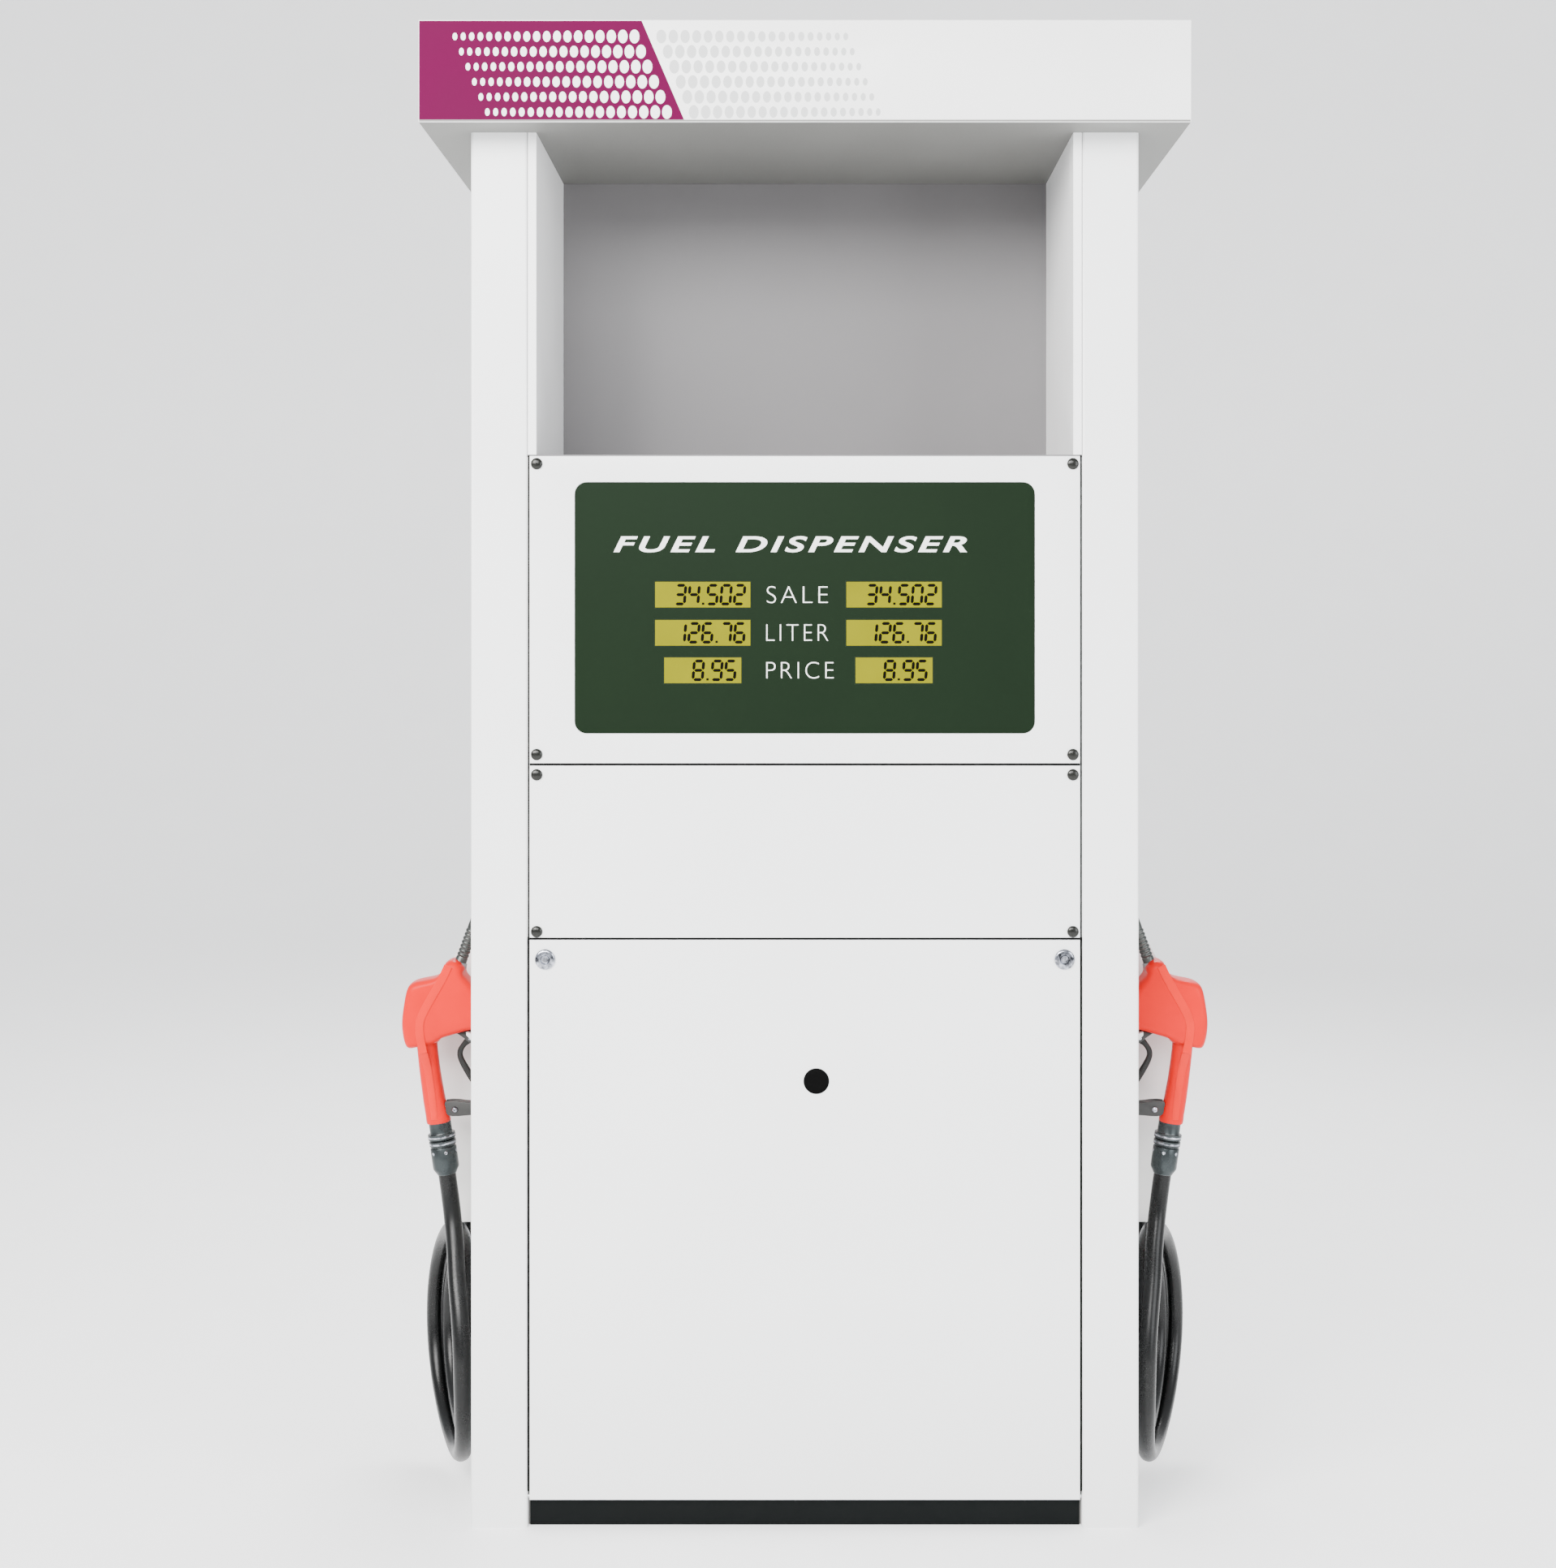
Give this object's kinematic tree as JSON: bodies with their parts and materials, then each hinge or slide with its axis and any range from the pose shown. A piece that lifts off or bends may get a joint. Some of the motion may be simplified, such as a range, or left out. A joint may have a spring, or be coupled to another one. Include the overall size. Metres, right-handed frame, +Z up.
{
  "type": "gas pump",
  "caption": "Free-standing fuel dispenser cabinet with a display window, an open niche under a canopy head, and a nozzle with a coiled hose on each side.",
  "frame": {"origin": "centre of the base, on the ground", "axes": "+Z up, the display faces -Y, +X to the viewer's right"},
  "size_m": [1.244, 0.506, 2.212],
  "materials": {
    "white_paint": "gloss",
    "grey_sheet": "satin",
    "niche_white": "satin",
    "soffit_grey": "satin",
    "black_paint": "satin",
    "fascia_print": "gloss",
    "fascia_white": "gloss",
    "lens_green": "gloss",
    "lcd": "satin",
    "board": "matte",
    "chrome": "polished",
    "zinc": "brushed",
    "screw_olive": "satin",
    "black_rubber": "matte",
    "boot_grey": "matte",
    "boot_dark": "matte",
    "cover_red": "satin",
    "cast_aluminium": "cast",
    "spout_steel": "brushed",
    "trigger_black": "satin",
    "guard_grey": "satin",
    "swivel_metal": "satin",
    "hose_rubber": "satin",
    "pump_iron": "painted",
    "motor_paint": "satin",
    "frame_paint": "satin",
    "box_paint": "satin"
  },
  "bodies": {
    "cabinet": {"base_frame": "frame_paint", "left_pillar": "white_paint", "right_pillar": "white_paint", "left_niche_wall": "niche_white", "right_niche_wall": "niche_white", "kick_plates": "black_paint", "door_pins": "zinc", "middle_panel": "white_paint", "display_panel": "white_paint", "display_window": "lens_green", "display_board": "board", "lcd_modules": "lcd", "panel_screws": "screw_olive", "rear_upper_panel": "white_paint", "rear_lower_panel": "white_paint", "niche_liner": "grey_sheet", "head_cover": "fascia_white", "front_fascia": "fascia_print", "rear_fascia": "fascia_white", "head_soffit": "soffit_grey", "controller_box": "box_paint", "junction_box": "box_paint", "pump_unit": "pump_iron", "motor": "motor_paint", "drive_belt": "black_rubber", "manifold": "zinc", "suction_pipe": "zinc", "left_meter": "cast_aluminium", "left_delivery_line": "zinc", "left_nozzle_boot": "boot_grey", "left_hose": "hose_rubber", "left_hose_outlet": "swivel_metal", "left_hose_hook": "black_paint", "right_meter": "cast_aluminium", "right_delivery_line": "zinc", "right_nozzle_boot": "boot_grey", "right_hose": "hose_rubber", "right_hose_outlet": "swivel_metal", "right_hose_hook": "black_paint"},
    "lower_door": {"lower_door": "white_paint", "door_plug": "black_rubber", "lock_barrels": "chrome"},
    "left_lock": {"left_lock_plug": "chrome"},
    "right_lock": {"right_lock_plug": "chrome"},
    "motor_drive": {"motor_pulley": "pump_iron"},
    "pump_drive": {"pump_pulley": "pump_iron"},
    "left_nozzle": {"left_nozzle_cover": "cover_red", "left_nozzle_body": "cast_aluminium", "left_spout": "spout_steel", "left_lever_guard": "guard_grey"},
    "left_trigger": {"left_trigger": "trigger_black"},
    "left_swivel": {"left_swivel": "swivel_metal"},
    "left_boot_lever": {"left_boot_lever": "boot_dark"},
    "right_nozzle": {"right_nozzle_cover": "cover_red", "right_nozzle_body": "cast_aluminium", "right_spout": "spout_steel", "right_lever_guard": "guard_grey"},
    "right_trigger": {"right_trigger": "trigger_black"},
    "right_swivel": {"right_swivel": "swivel_metal"},
    "right_boot_lever": {"right_boot_lever": "boot_dark"}
  },
  "joints": [
    {"name": "lower_door_tilt", "type": "hinge", "parent": "cabinet", "child": "lower_door", "pos_m": [0, -0.182, 0.046], "axis": [1, 0, 0], "range_deg": [0, 25]},
    {"name": "left_lock_turn", "type": "hinge", "parent": "lower_door", "child": "left_lock", "pos_m": [-0.384, -0.187, 0.841], "axis": [0, 1, 0], "range_deg": [0, 90]},
    {"name": "left_nozzle_lift", "type": "slide", "parent": "cabinet", "child": "left_nozzle", "axis": [-0.9397, 0, 0.342], "range_m": [0, 0.16]},
    {"name": "left_trigger_squeeze", "type": "hinge", "parent": "left_nozzle", "child": "left_trigger", "pos_m": [-0.513, -0.06, 0.703], "axis": [0, 1, 0], "range_deg": [0, 15], "stiffness_Nm_per_rad": 0.5, "springref_deg": -17.19},
    {"name": "left_swivel_turn", "type": "hinge", "parent": "left_nozzle", "child": "left_swivel", "pos_m": [-0.561, -0.06, 0.575], "axis": [0.1392, 0, -0.9903], "continuous": true},
    {"name": "left_boot_lever_swing", "type": "hinge", "parent": "cabinet", "child": "left_boot_lever", "pos_m": [-0.433, -0.06, 1.046], "axis": [0, 1, 0], "range_deg": [0, 18]},
    {"name": "right_lock_turn", "type": "hinge", "parent": "lower_door", "child": "right_lock", "pos_m": [0.384, -0.187, 0.841], "axis": [0, -1, 0], "range_deg": [0, 90]},
    {"name": "right_nozzle_lift", "type": "slide", "parent": "cabinet", "child": "right_nozzle", "axis": [0.9397, 0, 0.342], "range_m": [0, 0.16]},
    {"name": "right_trigger_squeeze", "type": "hinge", "parent": "right_nozzle", "child": "right_trigger", "pos_m": [0.513, -0.06, 0.703], "axis": [0, -1, 0], "range_deg": [0, 15], "stiffness_Nm_per_rad": 0.5, "springref_deg": -17.19},
    {"name": "right_swivel_turn", "type": "hinge", "parent": "right_nozzle", "child": "right_swivel", "pos_m": [0.561, -0.06, 0.575], "axis": [-0.1392, 0, -0.9903], "continuous": true},
    {"name": "right_boot_lever_swing", "type": "hinge", "parent": "cabinet", "child": "right_boot_lever", "pos_m": [0.433, -0.06, 1.046], "axis": [0, -1, 0], "range_deg": [0, 18]},
    {"name": "motor_spin", "type": "hinge", "parent": "cabinet", "child": "motor_drive", "pos_m": [-0.21, -0.118, 0.17], "axis": [0, 1, 0], "continuous": true},
    {"name": "pump_spin", "type": "hinge", "parent": "cabinet", "child": "pump_drive", "pos_m": [0.04, -0.118, 0.17], "axis": [0, 1, 0], "continuous": true}
  ],
  "couplings": [
    {"joint": "motor_spin", "follows": "pump_spin", "ratio": 2},
    {"joint": "left_boot_lever_swing", "follows": "left_nozzle_lift", "rad_per_m": 1.9615},
    {"joint": "right_boot_lever_swing", "follows": "right_nozzle_lift", "rad_per_m": 1.9615}
  ]
}
